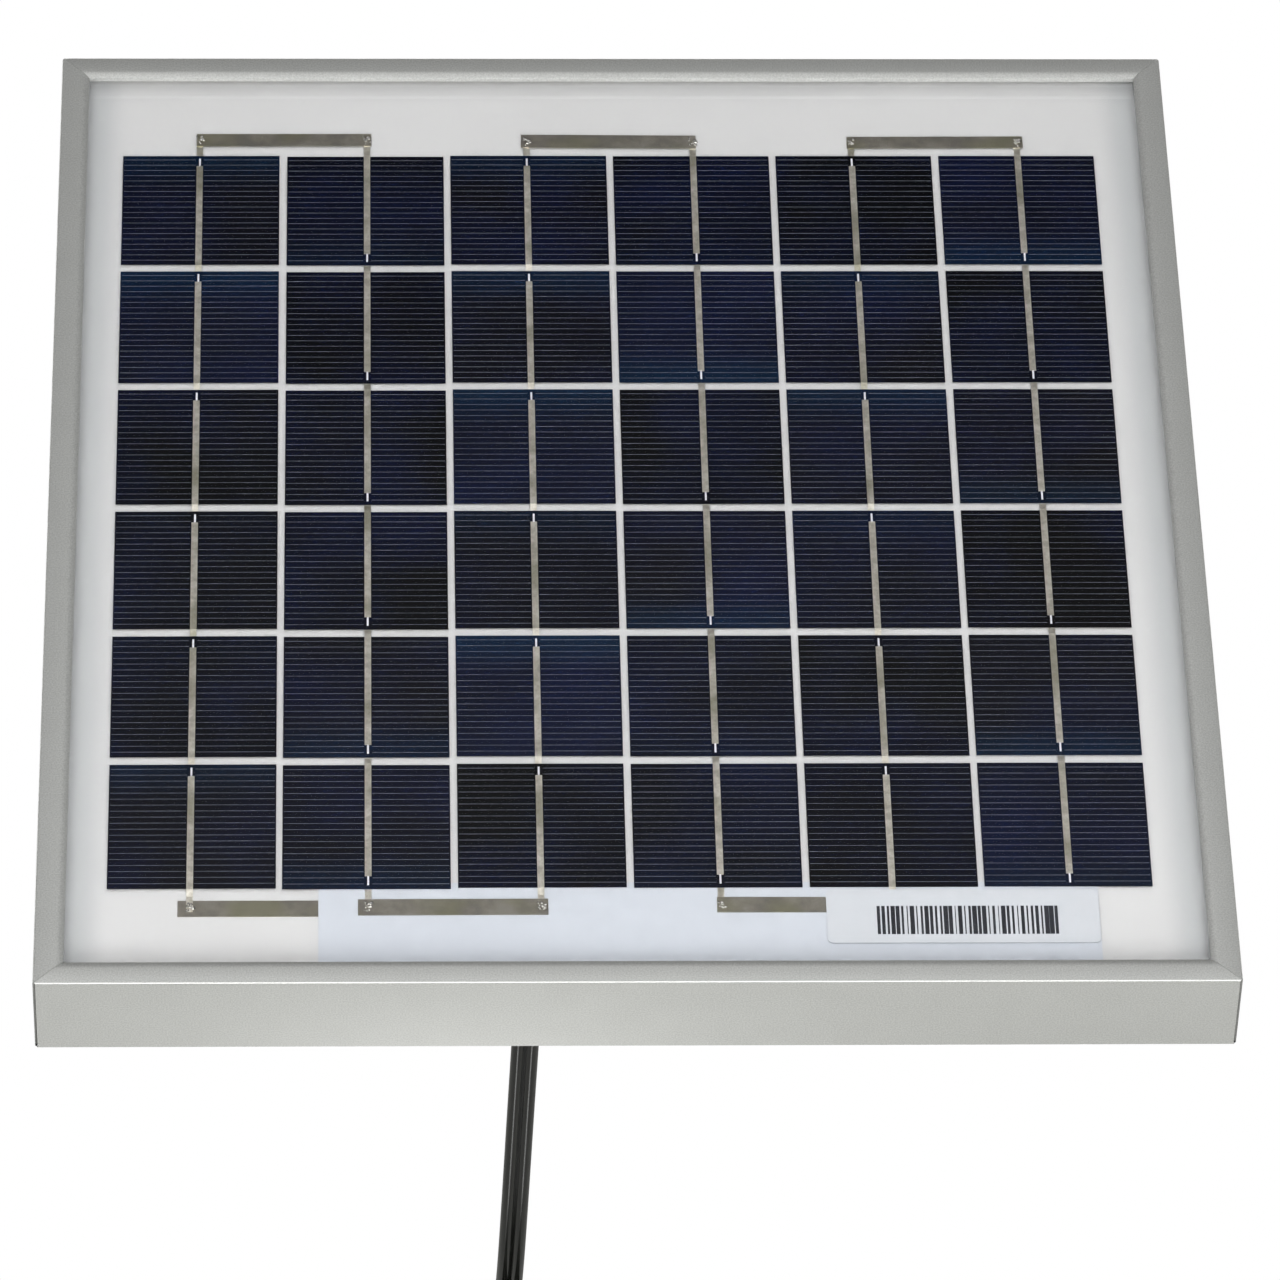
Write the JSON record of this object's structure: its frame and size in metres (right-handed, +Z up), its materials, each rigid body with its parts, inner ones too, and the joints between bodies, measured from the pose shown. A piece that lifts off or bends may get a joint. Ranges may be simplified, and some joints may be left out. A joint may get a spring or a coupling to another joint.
{
  "type": "framed solar panel",
  "caption": "Small framed solar panel that powers a solar attic fan, with a hinged junction box underneath and a coiled two-core lead ending in a barrel plug.",
  "frame": {"origin": "centre of the four mounting holes, on the underside plane of the frame's lower flanges", "axes": "+Z up through the glass, +X to the right, +Y towards the back edge, away from the edge that the lead hangs from"},
  "size_m": [0.222, 0.2692, 0.2195],
  "materials": {
    "anodised_rail": "satin anodised",
    "mill_aluminium": "mill finish",
    "tempered_glass": "clear, polished",
    "clear_eva": "clear",
    "rear_eva": "milky",
    "white_backsheet": "satin white",
    "seal_silicone": "matt",
    "silicon_cell": "dark blue anti-reflective",
    "tinned_ribbon": "tinned, satin",
    "tinned_bus": "tinned, satin",
    "strip_film": "satin",
    "label_film": "satin",
    "box_plastic": "fine texture",
    "foam_pad": "foam",
    "gasket_rubber": "matt",
    "steel_pin": "drawn",
    "brass_plate": "pressed",
    "screw_steel": "zinc plated",
    "diode_epoxy": "moulded",
    "bare_wire": "bare copper",
    "core_black": "extruded",
    "core_red": "extruded",
    "bush_rubber": "moulded",
    "lead_pvc": "glossy extruded",
    "tie_nylon": "moulded",
    "plug_mould": "moulded",
    "plug_nickel": "nickel plated",
    "plug_insert": "moulded"
  },
  "bodies": {
    "panel": {"backsheet": "white_backsheet", "bar_label": "label_film", "box_adhesive_pad": "foam_pad", "bus_ribbon_1_2": "tinned_bus", "bus_ribbon_3_4": "tinned_bus", "bus_ribbon_5_6": "tinned_bus", "corner_key_back_left": "mill_aluminium", "corner_key_back_right": "mill_aluminium", "corner_key_front_left": "mill_aluminium", "corner_key_front_right": "mill_aluminium", "diode_body": "diode_epoxy", "diode_leads": "bare_wire", "edge_seal": "seal_silicone", "eva_back": "rear_eva", "eva_front": "clear_eva", "frame_rail_back": "anodised_rail", "frame_rail_front": "anodised_rail", "frame_rail_left": "anodised_rail", "frame_rail_right": "anodised_rail", "glass": "tempered_glass", "hinge_pin": "steel_pin", "insulation_strip": "strip_film", "junction_box_base": "box_plastic", "lead_bush": "bush_rubber", "lead_coil": "lead_pvc", "lead_core_negative": "core_black", "lead_core_positive": "core_red", "lead_tail": "lead_pvc", "lead_tie": "tie_nylon", "lead_tube": "lead_pvc", "link_ribbon_2_3": "tinned_bus", "link_ribbon_4_5": "tinned_bus", "output_ribbon_negative": "tinned_bus", "output_ribbon_positive": "tinned_bus", "plug_body": "plug_mould", "plug_insulator": "plug_insert", "plug_sleeve": "plug_nickel", "string_1_cells": "silicon_cell", "string_1_ribbons": "tinned_ribbon", "string_2_cells": "silicon_cell", "string_2_ribbons": "tinned_ribbon", "string_3_cells": "silicon_cell", "string_3_ribbons": "tinned_ribbon", "string_4_cells": "silicon_cell", "string_4_ribbons": "tinned_ribbon", "string_5_cells": "silicon_cell", "string_5_ribbons": "tinned_ribbon", "string_6_cells": "silicon_cell", "string_6_ribbons": "tinned_ribbon", "stripped_ends": "bare_wire", "terminal_plate_negative": "brass_plate", "terminal_plate_positive": "brass_plate", "terminal_screws": "screw_steel", "terminal_washers": "screw_steel"},
    "box_lid": {"junction_box_lid": "box_plastic", "lid_gasket": "gasket_rubber"}
  },
  "joints": [
    {"name": "junction_box_lid_hinge", "type": "hinge", "parent": "panel", "child": "box_lid", "pos_m": [-0.0192, -0.0436, 0.0024], "axis": [1, 0, 0], "range_deg": [0, 110]}
  ]
}
